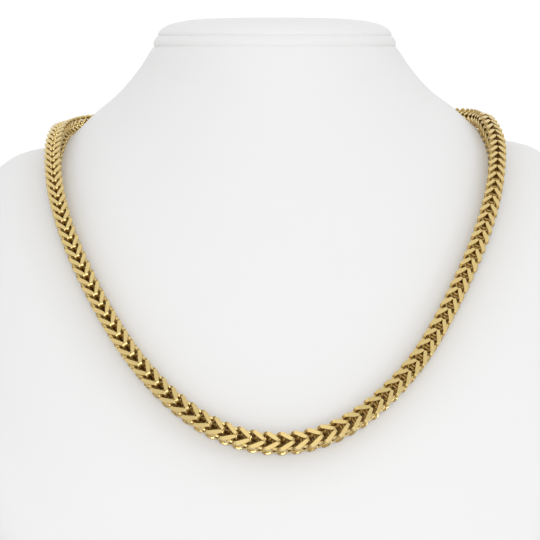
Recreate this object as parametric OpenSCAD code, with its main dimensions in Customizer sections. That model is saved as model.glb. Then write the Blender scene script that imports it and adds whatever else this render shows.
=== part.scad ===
// Franco chain necklace, laid round a plain neck bust.
// The origin is on the table, below the middle of the bust. The chest faces -Y.

/* [Bust] */
// Width across the shoulders at their widest
bust_w = 264; // [220:1:320]
// Reach of the chest in front of the neck's axis
chest_reach = 165; // [140:1:200]
// Reach of the back behind the neck's axis
back_reach = 75; // [66:1:100]
// Height from the table to the middle of the neck's top
bust_h = 200.7; // [170:0.1:260]
// Width of the neck where it meets the rim
neck_w = 93; // [84:1:100]
// How far the right shoulder stands above the left one
shoulder_lift = 3; // [0:0.5:6]
// How far the neck's top tilts up towards the front, in degrees
neck_tilt = 1.6; // [0:0.1:6]

/* [Neck rim and cap] */
// Width of the rim
rim_w = 91.4; // [86:0.1:104]
// Height of the rim
rim_h = 3.5; // [3.4:0.1:8]
// Radius of the rim's rounded upper edge
rim_top_r = 2.6; // [0.5:0.1:2.6]
// Radius of the rim's rounded lower edge
rim_low_r = 0.6; // [0.2:0.1:0.8]
// Width of the cap
cap_w = 88.2; // [80:0.1:100]
// Height of the cap
cap_h = 6.5; // [5:0.1:12]
// How full the cap is: 2 makes it an ellipse, and more makes its edge steeper
cap_power = 5; // [2:0.5:8]
// Seam between the bust, the rim and the cap
seam = 0.15; // [0.1:0.05:0.5]

/* [Chain] */
// Width of the square chain, which is also its height
chain_w = 6; // [4:0.1:8]
// Bevel along the chain's four corners
chain_bevel = 1.1; // [0.5:0.1:1.6]
// Gap between the chain and the bust
chain_gap = 0.4; // [0.3:0.05:1]

/* [Clasp] */
// Length of the clasp
clasp_l = 16; // [12:0.5:24]
// Width of the clasp's barrel
clasp_w = 5.8; // [4.5:0.1:6.6]
// Width of the collar at each end of the clasp
collar_w = 6.8; // [6:0.1:8]
// Length of each collar
collar_l = 2.2; // [1.5:0.1:3]
// Bevel round the edges of the collars
collar_bevel = 0.4; // [0.2:0.05:0.7]
// Gap between the clasp and the ends of the chain
clasp_gap = 0.5; // [0.4:0.05:0.8]

/* [Smoothness] */
// Corners of the bust round its axis
bust_sides = 64; // [32:4:72]
// Rings of the bust between two rows of its table
bust_steps = 3; // [2:1:4]
// Steps of the cap's curve from its edge to its middle
cap_steps = 16; // [8:1:24]
// Rings of the chain's tube
chain_rings = 72; // [48:1:80]

/* [Hidden] */
$fn = 96;

// How much faster than a circle's the drop grows from the side to the front
fall_power = 1.8;

// The bust's skin, from the neck down to the table. Each row is one ring.
// The reaches are shares of the way from the neck's radius to the full reach:
// side, front, back. The drops are shares of bust_h: side, front, back.
// The last column is the share of shoulder_lift.
bust_rows = [
    [0, 0, 0, 0.000, 0.000, 0.000, 0.0],
    [0.03, 0.045, 0.12, 0.025, 0.073, 0.048, 0.1],
    [0.136, 0.13, 0.3, 0.080, 0.158, 0.125, 0.3],
    [0.246, 0.335, 0.44, 0.118, 0.332, 0.161, 0.6],
    [0.434, 0.645, 0.545, 0.182, 0.581, 0.178, 0.9],
    [0.598, 0.82, 0.755, 0.197, 0.756, 0.203, 1.0],
    [0.834, 0.935, 0.93, 0.288, 0.880, 0.402, 1.0],
    [1, 1, 1, 0.433, 0.955, 0.576, 0.6],
    [0.95, 0.99, 0.95, 0.970, 0.985, 0.970, 0.0],
    [0.92, 0.975, 0.88, 1.000, 1.000, 1.000, 0.0]
];

// The chain's route over the bust, from one end of the clasp round to the other.
// Each row is an angle from the right shoulder, with 90 at the front, a level in bust_rows,
// and how many degrees the chain leans inwards from lying flat.
chain_route = [
    [-90, 3.78, 0], [-75, 3.82, 0], [-60, 3.85, 0], [-40, 3.74, 3], [-20, 3.61, 10],
    [0, 3.59, 20], [15, 3.85, 22], [30, 3.96, 14], [45, 3.995, 6], [60, 4.06, 0],
    [75, 4.07, 0], [90, 4.055, 0], [105, 4.04, 0], [120, 4.01, 0], [135, 3.965, 5],
    [150, 3.94, 14], [165, 3.85, 27], [180, 3.68, 26], [200, 3.64, 14], [220, 3.73, 4],
    [240, 3.85, 0], [255, 3.82, 0], [270, 3.78, 0]
];

// Steps over which slopes are taken: degrees round the bust, levels, and rows of the route
angle_step = 0.1;
level_step = 0.01;
route_step = 0.02;

neck_r = neck_w / 2;
neck_y = (chest_reach - back_reach) / 2;
last_level = len(bust_rows) - 1;

// Slope that keeps a curve between its neighbours
function calm(a, b) = a * b <= 0 ? 0 : 2 * a * b / (a + b);

// Cubic from p1 to p2 that follows its neighbours p0 and p3 and never overshoots
function ease(p0, p1, p2, p3, u) =
    let (m1 = calm(p1 - p0, p2 - p1), m2 = calm(p2 - p1, p3 - p2), d = p2 - p1)
    p1 + m1 * u + (3 * d - 2 * m1 - m2) * u * u + (m1 + m2 - 2 * d) * u * u * u;

// Value of one column of a table at a place between its rows
function at(rows, col, t) =
    let (last = len(rows) - 1, k = min(floor(t), last - 1), u = t - k)
    let (p1 = rows[k][col], p2 = rows[k + 1][col])
    let (p0 = k > 0 ? rows[k - 1][col] : 2 * p1 - p2)
    let (p3 = k < last - 1 ? rows[k + 2][col] : 2 * p2 - p1)
    ease(p0, p1, p2, p3, u);

// Point of the bust's skin at an angle and a level
function skin(angle, level) =
    let (front = sin(angle) >= 0, c = cos(angle), s = sin(angle))
    let (side_reach = neck_r + at(bust_rows, 0, level) * (bust_w / 2 - neck_r))
    let (full_reach = front ? chest_reach : back_reach)
    let (deep_reach = neck_r + at(bust_rows, front ? 1 : 2, level) * (full_reach - neck_r))
    let (side_drop = at(bust_rows, 3, level), deep_drop = at(bust_rows, front ? 4 : 5, level))
    let (drop = side_drop + (deep_drop - side_drop) * pow(abs(s), fall_power))
    [side_reach * c, neck_y - deep_reach * s,
     bust_h * (1 - drop) + shoulder_lift / 2 * at(bust_rows, 6, level) * c
     + deep_reach * s * tan(neck_tilt) * max(0, 1 - level)];

function unit(v) = v / norm(v);

// Outward direction of the bust's skin at an angle and a level
function skin_out(angle, level) =
    unit(cross(skin(angle + angle_step, level) - skin(angle - angle_step, level),
               skin(angle, level + level_step) - skin(angle, level - level_step)));

// Place on the route, from 0 to its last row, as an angle and a level
function route_at(t) = [at(chain_route, 0, t), at(chain_route, 1, t)];

// Middle of a piece of the given width where it lies on the bust
function seat(place, width) =
    skin(place[0], place[1]) + (width / 2 + chain_gap) * skin_out(place[0], place[1]);

// Closed solid through rings of points, each ring anticlockwise seen from the next one
module skinned(rings) {
    n = len(rings[0]);
    last = len(rings) - 1;
    sides = [for (k = [0:last - 1], i = [0:n - 1])
        let (a = k * n + i, b = k * n + (i + 1) % n)
        each [[a, a + n, b + n], [a, b + n, b]]];
    ends = [[for (i = [0:n - 1]) i], [for (i = [n - 1:-1:0]) last * n + i]];
    polyhedron(points = [for (ring = rings) each ring], faces = concat(sides, ends), convexity = 6);
}

// Corners of the chain's section, along its width and its height
function chain_section() =
    let (h = chain_w / 2, b = chain_w / 2 - chain_bevel)
    [[h, -b], [h, b], [b, h], [-b, h], [-h, b], [-h, -b], [-b, -h], [b, -h]];

// How far below the middle of the chain's section its lowest corner is when it leans
function chain_depth(lean) =
    -min([for (p = chain_section()) p[0] * sin(lean) + p[1] * cos(lean)]);

// Ring of the chain's tube at a place on its route
function chain_ring(t) =
    let (place = route_at(t), lean = at(chain_route, 2, t), out = skin_out(place[0], place[1]))
    let (before = route_at(t - route_step), after = route_at(t + route_step))
    let (along = unit(seat(after, chain_w) - seat(before, chain_w)))
    let (across = unit(cross(out, along)), up = cross(along, across))
    let (wide = cos(lean) * across + sin(lean) * up, high = cos(lean) * up - sin(lean) * across)
    [for (p = chain_section())
        seat(place, 2 * chain_depth(lean)) + p[0] * wide + p[1] * high];

// The clasp lies on the route's first place, and the chain starts beside it
clasp_place = chain_route[0];
clasp_turn = asin((clasp_l / 2 + clasp_gap) / skin(0, clasp_place[1])[0]);
chain_start = clasp_turn / (chain_route[1][0] - chain_route[0][0]);
chain_end = len(chain_route) - 1 - chain_start;

// The padded body: neck, shoulders and chest, with a flat base
module bust() {
    color("whitesmoke")
        skinned([for (k = [0:last_level * bust_steps])
            [for (i = [0:bust_sides - 1]) skin(360 * i / bust_sides, k / bust_steps)]]);
}

// Puts a piece on the tilted top of the neck, at a height above it
module on_neck(height) {
    translate([0, neck_y, bust_h])
        rotate([-neck_tilt, 0, 0])
            translate([0, 0, height])
                children();
}

// Disc with rounded edges under the cap
module neck_rim() {
    color("whitesmoke")
        on_neck(seam)
            rotate_extrude()
                union() {
                    square([rim_w / 2 - rim_low_r, rim_low_r]);
                    translate([0, rim_low_r])
                        square([rim_w / 2, rim_h - rim_low_r - rim_top_r]);
                    square([rim_w / 2 - rim_top_r, rim_h]);
                    translate([rim_w / 2 - rim_low_r, rim_low_r])
                        circle(r = rim_low_r);
                    translate([rim_w / 2 - rim_top_r, rim_h - rim_top_r])
                        intersection() {
                            circle(r = rim_top_r);
                            square(rim_top_r);
                        }
                }
}

// Padded disc that closes the neck, full at its edge and nearly flat in the middle
module neck_cap() {
    curve = [for (i = [0:cap_steps - 1])
        let (turn = 90 * i / cap_steps)
        [cap_w / 2 * pow(cos(turn), 2 / cap_power), cap_h * sin(turn)]];
    color("whitesmoke")
        on_neck(rim_h + 2 * seam)
            rotate_extrude()
                polygon(concat([[0, 0]], curve, [[0, cap_h]]));
}

// The square chain as one swept tube
module chain() {
    color("goldenrod")
        skinned([for (i = [0:chain_rings - 1])
            chain_ring(chain_start + (chain_end - chain_start) * i / (chain_rings - 1))]);
}

// Plain barrel with a collar at each end, closed behind the neck
module clasp() {
    half = clasp_l / 2;
    r = collar_w / 2;
    b = collar_bevel;
    color("goldenrod")
        translate(seat(clasp_place, collar_w))
            rotate([0, 90, 0])
                rotate_extrude() {
                    translate([0, -half])
                        square([clasp_w / 2, clasp_l]);
                    for (z = [-half, half - collar_l])
                        translate([0, z])
                            polygon([[0, 0], [r - b, 0], [r, b], [r, collar_l - b], [r - b, collar_l], [0, collar_l]]);
                }
}

bust();
neck_rim();
neck_cap();
chain();
clasp();
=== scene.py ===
"""Franco chain necklace on a neck bust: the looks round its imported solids."""
import math

import bpy
import numpy as np
from bpy.props import FloatProperty, FloatVectorProperty, IntProperty, PointerProperty
from mathutils import Matrix, Vector


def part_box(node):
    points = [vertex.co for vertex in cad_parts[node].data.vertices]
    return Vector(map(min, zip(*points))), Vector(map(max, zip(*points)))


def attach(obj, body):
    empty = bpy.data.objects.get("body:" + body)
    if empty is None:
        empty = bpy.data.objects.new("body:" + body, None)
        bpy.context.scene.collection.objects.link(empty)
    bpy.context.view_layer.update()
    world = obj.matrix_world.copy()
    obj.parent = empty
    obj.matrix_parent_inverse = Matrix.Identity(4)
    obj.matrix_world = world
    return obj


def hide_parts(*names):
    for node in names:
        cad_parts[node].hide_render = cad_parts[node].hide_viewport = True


bl_info = {
    "name": "Franco chain on a neck bust",
    "version": (1, 0, 0),
    "blender": (4, 5, 0),
    "location": "3D View > Sidebar > Necklace",
    "description": "Dresses a franco chain and the bust that carries it, and lights them",
    "category": "Object",
}

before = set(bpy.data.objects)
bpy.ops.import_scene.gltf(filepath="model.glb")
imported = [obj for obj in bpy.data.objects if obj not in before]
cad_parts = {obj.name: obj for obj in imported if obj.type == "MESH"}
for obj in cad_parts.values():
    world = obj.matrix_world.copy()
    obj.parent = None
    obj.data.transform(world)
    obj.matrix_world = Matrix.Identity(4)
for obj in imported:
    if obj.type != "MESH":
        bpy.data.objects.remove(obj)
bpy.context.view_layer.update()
MM = 0.001

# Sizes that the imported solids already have
BUST_LOW, BUST_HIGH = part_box("bust")
CHEST_REACH = 165 * MM
NECK_Y = BUST_LOW.y + CHEST_REACH
SHOULDER_HALF = (BUST_HIGH.x - BUST_LOW.x) / 2
BACK_REACH = BUST_HIGH.y - NECK_Y
BUST_HEIGHT = 200.7 * MM
CLASP_LOW, CLASP_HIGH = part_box("clasp")
CLASP_LENGTH = CLASP_HIGH.x - CLASP_LOW.x

# Power of the sine by which the drop grows from the side to the front and the back
FALL_POWER = 1.8

# The bust's rings from the neck down to the table, as in the source of the solids.
# Reach at the side, front and back, as shares of the way from the neck to the full reach;
# drop at the side, front and back, as shares of the height; share of the shoulder lift.
BUST_ROWS = np.array([
    [0, 0, 0, 0.000, 0.000, 0.000, 0.0],
    [0.03, 0.045, 0.12, 0.025, 0.073, 0.048, 0.1],
    [0.136, 0.13, 0.3, 0.080, 0.158, 0.125, 0.3],
    [0.246, 0.335, 0.44, 0.118, 0.332, 0.161, 0.6],
    [0.434, 0.645, 0.545, 0.182, 0.581, 0.178, 0.9],
    [0.598, 0.82, 0.755, 0.197, 0.756, 0.203, 1.0],
    [0.834, 0.935, 0.93, 0.288, 0.880, 0.402, 1.0],
    [1, 1, 1, 0.433, 0.955, 0.576, 0.6],
    [0.95, 0.99, 0.95, 0.970, 0.985, 0.970, 0.0],
    [0.92, 0.975, 0.88, 1.000, 1.000, 1.000, 0.0],
])
LAST_LEVEL = len(BUST_ROWS) - 1
# Level down to which the neck's skin is drawn in to meet the rim
EDGE_LEVEL = 1.2
# Angle at which the rounded lower edges of rim and cap meet the seam below them, and angle
# at which the rim's upper edge meets the seam above it
CREASE, RIM_END = math.radians(45), math.radians(60)
# Points of the profiles: the rim's lower and upper edge, and the cap from its seam to
# CAP_END, just short of its middle
RIM_LOW_POINTS, RIM_TOP_POINTS, CAP_POINTS = 6, 9, 60
CAP_END = math.radians(89.5)
# The cover is smooth where it bends by less than this, and creased elsewhere
COVER_BEND = math.radians(50)
# Steps in degrees and in levels over which the skin's direction is taken
ANGLE_STEP, LEVEL_STEP = 0.1, 0.01

# The chain's route over the bust, as in the source: angle from the right shoulder, level,
# and how many degrees the chain leans inwards
CHAIN_ROUTE = np.array([
    [-90, 3.78, 0], [-75, 3.82, 0], [-60, 3.85, 0], [-40, 3.74, 3], [-20, 3.61, 10],
    [0, 3.59, 20], [15, 3.85, 22], [30, 3.96, 14], [45, 3.995, 6], [60, 4.06, 0],
    [75, 4.07, 0], [90, 4.055, 0], [105, 4.04, 0], [120, 4.01, 0], [135, 3.965, 5],
    [150, 3.94, 14], [165, 3.85, 27], [180, 3.68, 26], [200, 3.64, 14], [220, 3.73, 4],
    [240, 3.85, 0], [255, 3.82, 0], [270, 3.78, 0],
])
# Places of the route where the chain passes the middle of the chest, and its last place
ROUTE_MIDDLE, ROUTE_END = 11, len(CHAIN_ROUTE) - 1
# Points at which the route's middle line is worked out
ROUTE_POINTS = 3001

# A quarter of one link's wire, from the middle of its hidden arch to its pinched waist.
# Each row is along, across and out from the chain's middle, the wire's half width and
# half thickness, how flat its top is lapped, and how far its top leans along the chain.
# All lengths are shares of the chain's width.
LINK_QUARTER = np.array([
    [-0.717, 0.000, 0.103, 0.097, 0.090, 0.0, 0.0],
    [-0.692, 0.142, 0.113, 0.093, 0.087, 0.0, 0.0],
    [-0.642, 0.267, 0.170, 0.090, 0.083, 0.0, 0.0],
    [-0.583, 0.347, 0.267, 0.090, 0.080, 0.0, 0.0],
    [-0.525, 0.400, 0.373, 0.095, 0.077, 0.6, 0.0],
    [-0.447, 0.413, 0.410, 0.103, 0.075, 1.0, 0.0],
    [-0.342, 0.390, 0.412, 0.125, 0.075, 1.0, 0.0],
    [-0.133, 0.258, 0.412, 0.123, 0.075, 1.0, 0.0],
    [0.058, 0.140, 0.412, 0.113, 0.075, 1.0, 0.0],
    [0.167, 0.083, 0.412, 0.090, 0.075, 1.0, 0.0],
    [0.227, 0.078, 0.353, 0.087, 0.080, 0.4, 0.5],
    [0.243, 0.080, 0.183, 0.088, 0.083, 0.0, 1.0],
    [0.243, 0.080, 0.000, 0.088, 0.083, 0.0, 1.0],
])
# Rings of the wire's mesh between two rows of the quarter, more where it bends in sight
LINK_STEPS = [1, 1, 1, 2, 2, 2, 1, 2, 2, 2, 1, 1]
# The wire's section as drawn and as lapped, as shares of its half width and half thickness
ROUND_SECTION = [[math.cos(math.radians(a)), math.sin(math.radians(a))]
                 for a in range(72, -253, -36)]
LAPPED_SECTION = [[0.82, 1.0], [0.98, 0.70], [1.0, 0.0], [0.8, -0.6], [0.3, -0.95],
                  [-0.3, -0.95], [-0.8, -0.6], [-1.0, 0.0], [-0.98, 0.70], [-0.82, 1.0]]
# Where the four sides of the chain are lapped flat, as a share of its width
LAPPED_AT = 0.486
# How far the turned set's links reach out and across, as shares of the facing set's
TURNED_OUT, TURNED_ACROSS = 0.84, 0.8
# How flat a section is at least where it is polished and has no painted shade: on the flats
# and at the apex; less flat sections, the heads' roundings too, get painted shade
POLISHED_UNSHADED_FLAT, POLISHED_UNSHADED_APEX = 0.9, 0.2
# The wire is smooth where it bends by less than this, and has an edge elsewhere
WIRE_BEND = math.radians(42)
# Shift of the gold's pattern from one link to the next, in millimetres
PATTERN_SHIFT = 0.37

# The studio's brightness in front of the bust, behind it and above it
ROOM_LIGHT, BACK_LIGHT, TOP_LIGHT = 0.34, 1.02, 1.0
# The lights: name, place and size in metres, and power in watts
STUDIO_LIGHTS = [
    ("front_softbox", (0, -1.6, 0.42), 1.0, 9.2),
    ("upper_softbox", (0, -1.25, 1.15), 0.6, 0.55),
    ("left_strip", (-0.9, -0.6, 0.45), 0.3, 0.4),
    ("right_strip", (0.9, -0.6, 0.45), 0.16, 0.85),
]


def linear(colour):
    """A colour written as sRGB hex, as the four linear values that a shader takes."""
    parts = [int(colour[i:i + 2], 16) / 255 for i in (1, 3, 5)]
    return [c / 12.92 if c <= 0.04045 else ((c + 0.055) / 1.055) ** 2.4 for c in parts] + [1.0]


class BustSizes(bpy.types.PropertyGroup):
    """Sizes and colour of the bust."""
    neck_width: FloatProperty(
        name="Neck width", description="Width of the neck below its rim",
        default=93 * MM, unit="LENGTH")
    neck_tilt: FloatProperty(
        name="Neck tilt", description="How far the neck's top tilts up towards the front",
        default=math.radians(1.6), subtype="ANGLE")
    neck_edge: FloatProperty(
        name="Neck edge", description="How far the neck's upper edge is drawn in",
        default=1.1 * MM, unit="LENGTH")
    rim_width: FloatProperty(
        name="Rim width", description="Width of the rim",
        default=91.4 * MM, unit="LENGTH")
    rim_height: FloatProperty(
        name="Rim height", description="Height of the rim with its two seams",
        default=3.8 * MM, unit="LENGTH")
    rim_round: FloatProperty(
        name="Rim rounding", description="Radius of the rim's upper edge",
        default=3.6 * MM, unit="LENGTH")
    cap_width: FloatProperty(
        name="Cap width", description="Width of the cap",
        default=88.2 * MM, unit="LENGTH")
    cap_height: FloatProperty(
        name="Cap height", description="Height of the cap",
        default=6.5 * MM, unit="LENGTH")
    cap_power: FloatProperty(
        name="Cap fullness", description="2 makes the cap an ellipse, more a steeper edge",
        default=5.0)
    low_round: FloatProperty(
        name="Lower rounding", description="Radius of the lower edges of rim and cap",
        default=0.9 * MM, unit="LENGTH")
    shoulder_lift: FloatProperty(
        name="Shoulder lift", description="How far the right shoulder stands above the left",
        default=3 * MM, unit="LENGTH")
    rings: IntProperty(
        name="Rings", description="Rings of the mesh between two rows of the table",
        default=16, min=4, max=40)
    sides: IntProperty(
        name="Sides", description="Corners of the mesh round the neck",
        default=256, min=32, max=512)
    grain: FloatProperty(
        name="Grain", description="Size of the pebbles of the leatherette",
        default=0.9 * MM, unit="LENGTH")
    cover: FloatVectorProperty(
        name="Cover", description="Colour of the leatherette",
        default=linear("#EBEBEB")[:3], subtype="COLOR", size=3)


class ChainSizes(bpy.types.PropertyGroup):
    """Sizes and colours of the chain."""
    width: FloatProperty(
        name="Width", description="Width of the square chain",
        default=6 * MM, unit="LENGTH")
    pitch: FloatProperty(
        name="Pitch", description="Distance from one V to the next on a face",
        default=4.4 * MM, unit="LENGTH")
    bevel: FloatProperty(
        name="Bevel", description="Bevel along the corners of the chain's square section",
        default=1.1 * MM, unit="LENGTH")
    middle_shift: FloatProperty(
        name="Middle shift", description="How far the V nearest the middle is moved along",
        default=-0.2 * MM, unit="LENGTH")
    gap: FloatProperty(
        name="Gap", description="Gap between the chain and the bust",
        default=0.4 * MM, unit="LENGTH")
    clasp_entry: FloatProperty(
        name="Clasp entry", description="How far the last links reach into the clasp",
        default=1.2 * MM, unit="LENGTH")
    gold: FloatVectorProperty(
        name="Gold", description="Colour of the gold",
        default=linear("#DABF7F")[:3], subtype="COLOR", size=3)


class StageSizes(bpy.types.PropertyGroup):
    """Camera and light."""
    distance: FloatProperty(
        name="Distance", description="Camera's distance in front of the neck's axis",
        default=555 * MM, unit="LENGTH")
    rise: FloatProperty(
        name="Rise", description="Camera's height above the neck's top",
        default=14.8 * MM, unit="LENGTH")
    aside: FloatProperty(
        name="Aside", description="Camera's place to the right of the neck's axis",
        default=-1.8 * MM, unit="LENGTH")
    tilt: FloatProperty(
        name="Tilt", description="How far the camera looks down",
        default=math.radians(10.3), subtype="ANGLE")
    lens: FloatProperty(
        name="Lens", description="Focal length on a 36 mm frame, in millimetres",
        default=96.7)
    floor: FloatProperty(
        name="Floor", description="Width of the pale floor",
        default=2600 * MM, unit="LENGTH")


def calm_slope(before, after):
    """Slope at a point that keeps a curve between its neighbours, from the steps beside it."""
    product = before * after
    same_way = product > 0
    return np.where(same_way, 2 * product / np.where(same_way, before + after, 1), 0)


def column(rows, index, places):
    """Values of one column of a table at places between its rows, on a calm curve."""
    values = rows[:, index]
    padded = np.concatenate([[2 * values[0] - values[1]], values, [2 * values[-1] - values[-2]]])
    row = np.clip(np.floor(places).astype(int), 0, len(rows) - 2)
    u = places - row
    p0, p1, p2, p3 = (padded[row + i] for i in range(4))
    d = p2 - p1
    m1, m2 = calm_slope(p1 - p0, d), calm_slope(d, p3 - p2)
    return p1 + m1 * u + (3 * d - 2 * m1 - m2) * u ** 2 + (m1 + m2 - 2 * d) * u ** 3


def skin(angle, level):
    """Points of the bust's skin at angles in degrees and levels of the table, in metres."""
    sizes = bpy.context.scene.bust_sizes
    neck = sizes.neck_width / 2
    c, s = np.cos(np.radians(angle)), np.sin(np.radians(angle))
    front = s >= 0

    def reach(index, full):
        return neck + column(BUST_ROWS, index, level) * (full - neck)

    side_drop = column(BUST_ROWS, 3, level)
    deep_drop = np.where(front, column(BUST_ROWS, 4, level), column(BUST_ROWS, 5, level))
    drop = side_drop + (deep_drop - side_drop) * np.abs(s) ** FALL_POWER
    deep = np.where(front, reach(1, CHEST_REACH), reach(2, BACK_REACH))
    lift = sizes.shoulder_lift / 2 * column(BUST_ROWS, 6, level) * c
    tilt = deep * s * math.tan(sizes.neck_tilt) * np.maximum(0, 1 - level)
    return np.stack([reach(0, SHOULDER_HALF) * c, NECK_Y - deep * s,
                     BUST_HEIGHT * (1 - drop) + lift + tilt], axis=-1)


def unit(vectors):
    """The vectors at length one."""
    return vectors / np.linalg.norm(vectors, axis=-1, keepdims=True)


def skin_out(angle, level):
    """Outward directions of the bust's skin."""
    around = skin(angle + ANGLE_STEP, level) - skin(angle - ANGLE_STEP, level)
    down = skin(angle, level + LEVEL_STEP) - skin(angle, level - LEVEL_STEP)
    return unit(np.cross(around, down))


def new_mesh(name, points, faces, uvs=None, smooth_below=None):
    """Object from points and faces, smooth where two faces meet at less than an angle."""
    mesh = bpy.data.meshes.new(name)
    mesh.from_pydata(np.asarray(points).tolist(), [], faces)
    if uvs is not None:
        layer = mesh.uv_layers.new(name="wire")
        layer.data.foreach_set("uv", np.asarray(uvs, np.float32).ravel())
    mesh.shade_smooth()
    if smooth_below is not None:
        mesh.set_sharp_from_angle(angle=smooth_below)
    mesh.validate()
    obj = bpy.data.objects.new(name, mesh)
    bpy.context.scene.collection.objects.link(obj)
    return obj


def add_node(tree, kind, settings=None, links=None):
    """A node with its settings, and its input sockets set to values or linked to outputs."""
    node = tree.nodes.new(kind)
    for name, value in (settings or {}).items():
        setattr(node, name, value)
    for name, value in (links or {}).items():
        socket = node.inputs[name]
        if isinstance(value, bpy.types.NodeSocket):
            tree.links.new(value, socket)
        else:
            socket.default_value = value
    return node


def new_material(name):
    """Material without nodes, and its tree."""
    material = bpy.data.materials.new(name)
    material.use_nodes = True
    tree = material.node_tree
    tree.nodes.clear()
    return material, tree


def leatherette():
    """Embossed white leatherette: soft matt vinyl with a fine pebble grain."""
    sizes = bpy.context.scene.bust_sizes
    material, tree = new_material("white_leatherette")
    place = add_node(tree, "ShaderNodeTexCoord").outputs["Object"]
    # Pebbles with fine creases between them, as a roller presses them into the vinyl
    pebbles = add_node(tree, "ShaderNodeTexVoronoi", {"feature": "SMOOTH_F1"},
                       {"Vector": place, "Scale": 1 / sizes.grain, "Smoothness": 0.6})
    # Under them the padding swells softly, about four pebbles across
    swell = add_node(tree, "ShaderNodeTexNoise", {},
                     {"Vector": place, "Scale": 1 / (4 * sizes.grain), "Detail": 3.0})
    height = add_node(tree, "ShaderNodeMath", {"operation": "ADD"},
                      {0: pebbles.outputs["Distance"], 1: swell.outputs["Fac"]})
    bump = add_node(tree, "ShaderNodeBump", {},
                    {"Strength": 0.10, "Distance": 0.06 * MM, "Height": height.outputs[0]})
    # The white has very faint lighter clouds, about 70 mm across
    clouds = add_node(tree, "ShaderNodeTexNoise", {},
                      {"Vector": place, "Scale": 1 / (71.4 * MM), "Detail": 4.0})
    tint = add_node(tree, "ShaderNodeMix", {"data_type": "RGBA"},
                    {"Factor": clouds.outputs["Fac"],
                     "A": [*sizes.cover, 1.0], "B": linear("#EEEEEE")})
    shader = add_node(tree, "ShaderNodeBsdfPrincipled", {},
                      {"Base Color": tint.outputs["Result"], "Roughness": 0.62,
                       "IOR": 1.5, "Normal": bump.outputs["Normal"]})
    add_node(tree, "ShaderNodeOutputMaterial", {}, {"Surface": shader.outputs[0]})
    return material


def yellow_gold():
    """Polished yellow gold whose flats were lapped, which leaves fine lengthwise lines."""
    sizes = bpy.context.scene.chain_sizes
    material, tree = new_material("lapped_yellow_gold")
    wire = add_node(tree, "ShaderNodeUVMap", {"uv_map": "wire"}).outputs["UV"]
    # Lines along the wire, 0.125 mm apart and about 2 mm long, coarser than real ones so
    # that they show close up; the map is in millimetres
    stretched = add_node(tree, "ShaderNodeMapping", {},
                         {"Vector": wire, "Scale": (1 / 0.125, 1 / 2, 1)})
    lines = add_node(tree, "ShaderNodeTexNoise", {},
                     {"Vector": stretched.outputs[0], "Scale": 1.0, "Detail": 3.0})
    bump = add_node(tree, "ShaderNodeBump", {},
                    {"Strength": 0.25, "Distance": 0.02 * MM, "Height": lines.outputs["Fac"]})
    tone = add_node(tree, "ShaderNodeMix", {"data_type": "RGBA"},
                    {"Factor": lines.outputs["Fac"],
                     "A": [*sizes.gold, 1.0], "B": linear("#E1CB8E")})
    shader = add_node(tree, "ShaderNodeBsdfPrincipled", {},
                      {"Base Color": tone.outputs["Result"], "Metallic": 1.0,
                       "Roughness": 0.2, "Normal": bump.outputs["Normal"]})
    add_node(tree, "ShaderNodeOutputMaterial", {}, {"Surface": shader.outputs[0]})
    return material


def drawn_gold_painted_shade():
    """Drawn wire out of the polisher's reach, duller; its darker, browner colour is painted shade
    inside the chain.
    """
    material, tree = new_material("drawn_yellow_gold_painted_shade")
    wire = add_node(tree, "ShaderNodeUVMap", {"uv_map": "wire"}).outputs["UV"]
    # Dull patches about half a millimetre across; the map is in millimetres
    patches = add_node(tree, "ShaderNodeTexNoise", {},
                       {"Vector": wire, "Scale": 1 / 0.5, "Detail": 2.0})
    # Both tones are darker and browner than the polished gold: painted shade
    tone = add_node(tree, "ShaderNodeMix", {"data_type": "RGBA"},
                    {"Factor": patches.outputs["Fac"],
                     "A": linear("#B49659"), "B": linear("#C9AC70")})
    shader = add_node(tree, "ShaderNodeBsdfPrincipled", {},
                      {"Base Color": tone.outputs["Result"], "Metallic": 1.0,
                       "Roughness": 0.5})
    add_node(tree, "ShaderNodeOutputMaterial", {}, {"Surface": shader.outputs[0]})
    return material


def polished_gold():
    """Plain polished yellow gold, for the clasp."""
    material, tree = new_material("polished_yellow_gold")
    place = add_node(tree, "ShaderNodeTexCoord").outputs["Object"]
    # Soft hazing from handling, about 2.5 mm across
    haze = add_node(tree, "ShaderNodeTexNoise", {},
                    {"Vector": place, "Scale": 1 / (2.5 * MM), "Detail": 4.0})
    rough = add_node(tree, "ShaderNodeMapRange", {},
                     {"Value": haze.outputs["Fac"], "To Min": 0.12, "To Max": 0.24})
    shader = add_node(tree, "ShaderNodeBsdfPrincipled", {},
                      {"Base Color": [*bpy.context.scene.chain_sizes.gold, 1.0],
                       "Metallic": 1.0, "Roughness": rough.outputs[0]})
    add_node(tree, "ShaderNodeOutputMaterial", {}, {"Surface": shader.outputs[0]})
    return material


def cover_material():
    """The leatherette, made once for all pieces of the bust."""
    return bpy.data.materials.get("white_leatherette") or leatherette()


def dress(node, material):
    """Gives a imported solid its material."""
    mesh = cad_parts[node].data
    mesh.materials.clear()
    mesh.materials.append(material)


def ring_faces(bands, n):
    """Faces of so many bands between rings of n points each, the first ring on top."""
    return [[k * n + i, (k + 1) * n + i, (k + 1) * n + (i + 1) % n, k * n + (i + 1) % n]
            for k in range(bands) for i in range(n)]


def closed_mesh(name, rings):
    """Object from rings of points, the first on top, with a flat face at each end."""
    last, n = len(rings) - 1, len(rings[0])
    top = list(range(n))
    bottom = list(range(last * n + n - 1, last * n - 1, -1))
    return new_mesh(name, rings.reshape(-1, 3), ring_faces(last, n) + [top, bottom],
                    smooth_below=COVER_BEND)


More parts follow.
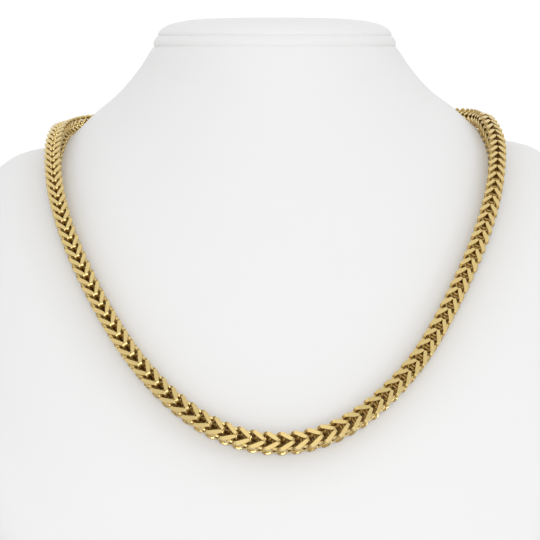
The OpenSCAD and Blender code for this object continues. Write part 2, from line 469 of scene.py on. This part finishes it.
def turned_piece(name, profile, node):
    """Round piece on the neck's tilted top, from its profile of radius and height."""
    sizes = bpy.context.scene.bust_sizes
    turn = np.radians(np.arange(sizes.sides) * 360 / sizes.sides)
    radius, height = np.array(profile)[::-1].T
    rings = np.stack([np.outer(radius, np.cos(turn)), -np.outer(radius, np.sin(turn)),
                      np.outer(height, np.ones(sizes.sides))], axis=-1)
    tilt = np.array(Matrix.Rotation(-sizes.neck_tilt, 3, "X"))
    piece = closed_mesh(name, rings @ tilt.T + [0, NECK_Y, BUST_HEIGHT])
    piece.data.materials.append(cover_material())
    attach(piece, "root")
    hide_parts(node)


class NECKLACE_OT_bust(bpy.types.Operator):
    """Padded body of the bust, as a fine smooth skin over its solid"""
    bl_idname = "necklace.bust"
    bl_label = "Bust"

    def execute(self, context):
        sizes = context.scene.bust_sizes
        levels = np.linspace(0, LAST_LEVEL, LAST_LEVEL * sizes.rings + 1)
        angles = np.arange(sizes.sides) * 360 / sizes.sides
        rings = skin(angles[None, :], levels[:, None])
        # The neck's upper edge, drawn in under the rim
        drawn_in = sizes.neck_edge * np.clip(1 - levels / EDGE_LEVEL, 0, 1) ** 2
        away = np.stack([np.cos(np.radians(angles)), -np.sin(np.radians(angles)), 0 * angles],
                        axis=-1)
        body = closed_mesh("bust_body", rings - drawn_in[:, None, None] * away)
        body.data.materials.append(cover_material())
        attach(body, "root")
        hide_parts("bust")
        return {"FINISHED"}


class NECKLACE_OT_neck(bpy.types.Operator):
    """Rim and cap of the neck, covered like the body, with their seams drawn tight"""
    bl_idname = "necklace.neck"
    bl_label = "Neck rim and cap"

    def execute(self, context):
        sizes = context.scene.bust_sizes
        low, top = sizes.low_round, sizes.rim_round
        half, height = sizes.rim_width / 2, sizes.rim_height
        rim = [[half - low + low * math.sin(a), low * (math.cos(CREASE) - math.cos(a))]
               for a in np.linspace(CREASE, math.pi / 2, RIM_LOW_POINTS)]
        rim += [[half - top + top * math.cos(a), height - top * (math.sin(RIM_END) - math.sin(a))]
                for a in np.linspace(0, RIM_END, RIM_TOP_POINTS)]
        turned_piece("rim_cover", rim, "neck_rim")

        # The cap's full outline, less the rounding of its lower edge
        cap = []
        for a in np.linspace(0, CAP_END, CAP_POINTS):
            full = sizes.cap_width / 2 * math.cos(a) ** (2 / sizes.cap_power)
            rise = sizes.cap_height * math.sin(a)
            under = max(0, 1 - rise / low) * math.sin(CREASE)
            cap.append([full - low * (1 - math.sqrt(1 - under ** 2)), height + rise])
        turned_piece("cap_cover", cap, "neck_cap")
        return {"FINISHED"}


def route_frames():
    """The chain's middle line, all the way round from the middle of the clasp.

    Gives for each of its points the place on the route, the arc length, the point itself,
    and the directions across the leaning chain and out from it.
    """
    sizes = bpy.context.scene.chain_sizes
    places = np.linspace(ROUTE_END, 0, ROUTE_POINTS)
    angle, level, lean = (column(CHAIN_ROUTE, i, places) for i in range(3))
    outward = skin_out(angle, level)
    lean = np.radians(lean)
    cos, sin = np.cos(lean), np.sin(lean)
    # Of the two edges of the bevel next to the bust, the lower one keeps the gap
    half, flat = sizes.width / 2, sizes.width / 2 - sizes.bevel
    depth = np.maximum(half * cos + flat * sin, flat * cos + half * sin)
    middle = skin(angle, level) + (depth + sizes.gap)[:, None] * outward
    length = np.concatenate([[0], np.cumsum(np.linalg.norm(np.diff(middle, axis=0), axis=1))])
    along = unit(np.gradient(middle, length, axis=0))
    across = unit(np.cross(outward, along))
    high = np.cross(along, across)
    cos, sin = cos[:, None], sin[:, None]
    return places, length, middle, cos * across - sin * high, cos * high + sin * across


def link_wire():
    """One link's closed wire, from the quarter and its three mirror images, in widths.

    Each row of the result is one ring of the wire: its point along, across and out, its
    half width, half thickness and flatness, and the direction of its top.
    """
    there, back = LINK_QUARTER[:-1], LINK_QUARTER[:0:-1]
    over = np.array([1, 1, -1, 1, 1, 1, 1])
    aside = np.array([1, -1, 1, 1, 1, 1, 1])
    rows = np.concatenate([there, back * over, there * over * aside, back * aside])
    lean = rows[:, 6]
    top = np.stack([lean, 0 * lean, np.sign(rows[:, 2]) * (1 - lean)], axis=1)
    rows = np.concatenate([rows[:, :6], top], axis=1)
    rings = []
    for i, steps in enumerate((LINK_STEPS + LINK_STEPS[::-1]) * 2):
        p0, p1, p2, p3 = (rows[(i + j) % len(rows)] for j in (-1, 0, 1, 2))
        for u in np.arange(steps) / steps:
            rings.append(0.5 * (2 * p1 + (p2 - p0) * u + (2 * p0 - 5 * p1 + 4 * p2 - p3) * u ** 2
                                + (3 * p1 - p0 - 3 * p2 + p3) * u ** 3))
    return np.array(rings)


def link_mesh():
    """One link, in widths of the chain.

    Gives its points in along, across and out, its faces, each face corner's place across
    and along the wire, and which faces are polished and have no painted shade.
    """
    wire = link_wire()
    centre, flat = wire[:, :3], wire[:, 5]
    ahead = unit(np.roll(centre, -1, axis=0) - np.roll(centre, 1, axis=0))
    top = wire[:, 6:9]
    top = unit(top - np.sum(top * ahead, axis=1, keepdims=True) * ahead)
    sideways = np.cross(top, ahead)
    # Each ring's section lies between the drawn and the lapped one
    drawn, lapped = np.array(ROUND_SECTION), np.array(LAPPED_SECTION)
    section = drawn + flat[:, None, None] * (lapped - drawn)
    spread, rise = section[:, :, 0] * wire[:, 3:4], section[:, :, 1] * wire[:, 4:5]
    points = (centre[:, None] + spread[:, :, None] * sideways[:, None]
              + rise[:, :, None] * top[:, None])
    points[:, :, 1:] = np.clip(points[:, :, 1:], -LAPPED_AT, LAPPED_AT)
    # The last ring of faces closes on the first ring of points
    rings, sides = spread.shape
    unrolled = np.array(ring_faces(rings, sides))
    faces = unrolled % (rings * sides)
    run = np.concatenate([[0], np.cumsum(np.linalg.norm(
        np.roll(centre, -1, axis=0) - centre, axis=1))])
    corners = np.stack([spread.ravel()[faces], run[unrolled // sides]], axis=-1)
    # The front of a link has its flats and the apex polished, its back the flats alone; all other
    # faces, the heads' roundings too, get the darker gold as painted shade
    least = np.where(centre[:, 0] > 0, POLISHED_UNSHADED_APEX, POLISHED_UNSHADED_FLAT)
    polished_unshaded = np.repeat(flat > least, sides)
    return points.reshape(-1, 3), faces, corners.reshape(-1, 2), polished_unshaded


def lay_links(name, stations, turned, frames, width, golds):
    """Joined mesh of like links at the given arc lengths, bent along the chain's route."""
    _, length, middle, across, outward = frames
    points, faces, corners, polished_unshaded = link_mesh()
    points = points * width
    if turned:
        points = points[:, [0, 2, 1]] * [1, -TURNED_OUT, TURNED_ACROSS]
    n = len(stations)
    reached = (stations[:, None] + points[:, 0]).ravel()

    def there(values):
        return np.stack([np.interp(reached, length, values[:, i]) for i in range(3)], axis=1)

    aside, out = np.tile(points[:, 1:], (n, 1)).T[:, :, None]
    laid = there(middle) + aside * there(across) + out * there(outward)
    links = np.arange(n)
    all_faces = (faces + len(points) * links[:, None, None]).reshape(-1, 4)
    uvs = np.tile(corners * width / MM, (n, 1))
    uvs[:, 1] += np.repeat(links * PATTERN_SHIFT, len(corners))
    piece = new_mesh(name, laid, all_faces.tolist(), uvs, smooth_below=WIRE_BEND)
    for gold in golds:
        piece.data.materials.append(gold)
    # The first gold is on the polished faces, the second, darker as painted shade, on the others
    piece.data.polygons.foreach_set("material_index", np.tile(~polished_unshaded, n).astype(np.int32))
    return piece


class NECKLACE_OT_chain(bpy.types.Operator):
    """Two sets of interlocked links at right angles, laid along the chain's route"""
    bl_idname = "necklace.chain"
    bl_label = "Franco chain"

    def execute(self, context):
        sizes = context.scene.chain_sizes
        frames = route_frames()
        places, length = frames[:2]
        # The first and the last link reach into the clasp by the same length
        clasp_end = CLASP_LENGTH / 2 - sizes.clasp_entry
        behind = (LINK_QUARTER[0, 3] - LINK_QUARTER[0, 0]) * sizes.width
        before = (LINK_QUARTER[-1, 3] + LINK_QUARTER[-1, 0]) * sizes.width
        first, last = clasp_end + behind, length[-1] - clasp_end - before
        # A V of the facing set lies near the middle of the chest
        middle = np.interp(-ROUTE_MIDDLE, -places, length) + sizes.middle_shift
        half = sizes.pitch / 2
        left = np.linspace(first, middle, round((middle - first) / half) + 1)
        right = np.linspace(middle, last, round((last - middle) / half) + 1)
        stations = np.concatenate([left[:-1], right])
        facing = (len(left) - 1) % 2
        # The second gold is darker and browner: painted shade inside the chain
        golds = yellow_gold(), drawn_gold_painted_shade()
        for name, chosen, turned in (("chain_links_facing", stations[facing::2], False),
                                     ("chain_links_turned", stations[1 - facing::2], True)):
            piece = lay_links(name, chosen, turned, frames, sizes.width, golds)
            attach(piece, "root")
            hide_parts("chain")
        return {"FINISHED"}


class NECKLACE_OT_clasp(bpy.types.Operator):
    """Plain barrel clasp behind the neck"""
    bl_idname = "necklace.clasp"
    bl_label = "Clasp"

    def execute(self, context):
        dress("clasp", polished_gold())
        return {"FINISHED"}


def pale_paper():
    """Uncoated studio paper: matt and even, so that it takes soft shadows and no shine."""
    material, tree = new_material("pale_paper")
    shader = add_node(tree, "ShaderNodeBsdfPrincipled", {},
                      {"Base Color": linear("#E8E8E8"), "Roughness": 0.9})
    add_node(tree, "ShaderNodeOutputMaterial", {}, {"Surface": shader.outputs[0]})
    return material


def studio_world():
    """White light from behind and above the bust, and a dimmer room in front of it."""
    world = bpy.data.worlds.new("studio")
    world.use_nodes = True
    tree = world.node_tree
    tree.nodes.clear()
    place = add_node(tree, "ShaderNodeTexCoord").outputs["Generated"]
    axes = add_node(tree, "ShaderNodeSeparateXYZ", {}, {"Vector": place})
    behind = add_node(tree, "ShaderNodeMapRange", {},
                      {"Value": axes.outputs["Y"], "From Min": -0.5, "From Max": 0.4,
                       "To Min": ROOM_LIGHT, "To Max": BACK_LIGHT})
    above = add_node(tree, "ShaderNodeMapRange", {},
                     {"Value": axes.outputs["Z"], "From Min": 0.4, "From Max": 0.85,
                      "To Min": ROOM_LIGHT, "To Max": TOP_LIGHT})
    shade = add_node(tree, "ShaderNodeMath", {"operation": "MAXIMUM"},
                     {0: behind.outputs[0], 1: above.outputs[0]})
    background = add_node(tree, "ShaderNodeBackground", {},
                          {"Color": linear("#FFFFFF"), "Strength": shade.outputs[0]})
    add_node(tree, "ShaderNodeOutputWorld", {}, {"Surface": background.outputs[0]})
    return world


def add_softbox(name, place, size, power, target):
    """Square white area light at a place, turned towards a target."""
    data = bpy.data.lights.new(name, "AREA")
    data.shape = "SQUARE"
    data.size = size
    data.energy = power
    light = bpy.data.objects.new(name, data)
    light.location = place
    light.rotation_euler = (Vector(target) - Vector(place)).to_track_quat("-Z", "Y").to_euler()
    bpy.context.scene.collection.objects.link(light)


class NECKLACE_OT_stage(bpy.types.Operator):
    """Pale floor, soft studio light and the camera"""
    bl_idname = "necklace.stage"
    bl_label = "Stage"

    def execute(self, context):
        scene = context.scene
        sizes = scene.stage_sizes
        scene.view_settings.view_transform = "Standard"

        half = sizes.floor / 2
        floor = new_mesh("floor", [[-half, -half, 0], [half, -half, 0], [half, half, 0],
                                   [-half, half, 0]], [[0, 1, 2, 3]])
        floor.data.materials.append(pale_paper())

        scene.world = studio_world()
        chest = (0, NECK_Y - CHEST_REACH / 2, BUST_HEIGHT / 2)
        for light in STUDIO_LIGHTS:
            add_softbox(*light, chest)

        camera = bpy.data.cameras.new("camera")
        camera.lens = sizes.lens
        seen = bpy.data.objects.new("camera", camera)
        seen.location = (sizes.aside, NECK_Y - sizes.distance, BUST_HEIGHT + sizes.rise)
        seen.rotation_euler = (math.pi / 2 - sizes.tilt, 0, 0)
        scene.collection.objects.link(seen)
        scene.camera = seen
        return {"FINISHED"}


class NECKLACE_PT_panel(bpy.types.Panel):
    """Sizes, colours and pieces of the necklace"""
    bl_idname = "NECKLACE_PT_panel"
    bl_label = "Necklace"
    bl_space_type = "VIEW_3D"
    bl_region_type = "UI"
    bl_category = "Necklace"

    def draw(self, context):
        for name, group in GROUPS.items():
            for size in group.__annotations__:
                self.layout.prop(getattr(context.scene, name), size)
        for operator in OPERATORS:
            self.layout.operator(operator.bl_idname)


GROUPS = {"bust_sizes": BustSizes, "chain_sizes": ChainSizes, "stage_sizes": StageSizes}
OPERATORS = [NECKLACE_OT_stage, NECKLACE_OT_bust, NECKLACE_OT_neck, NECKLACE_OT_chain,
             NECKLACE_OT_clasp]
CLASSES = [*GROUPS.values(), *OPERATORS, NECKLACE_PT_panel]


def register():
    """Registers every class, and gives the scene its groups of sizes."""
    for made in CLASSES:
        bpy.utils.register_class(made)
    for name, group in GROUPS.items():
        setattr(bpy.types.Scene, name, PointerProperty(type=group))


def unregister():
    """Takes away what register added."""
    for name in GROUPS:
        delattr(bpy.types.Scene, name)
    for made in reversed(CLASSES):
        bpy.utils.unregister_class(made)


def main():
    """Registers the classes and makes each piece in turn."""
    register()
    bpy.ops.necklace.stage()
    bpy.ops.necklace.bust()
    bpy.ops.necklace.neck()
    bpy.ops.necklace.chain()
    bpy.ops.necklace.clasp()


if __name__ == "__main__":
    main()
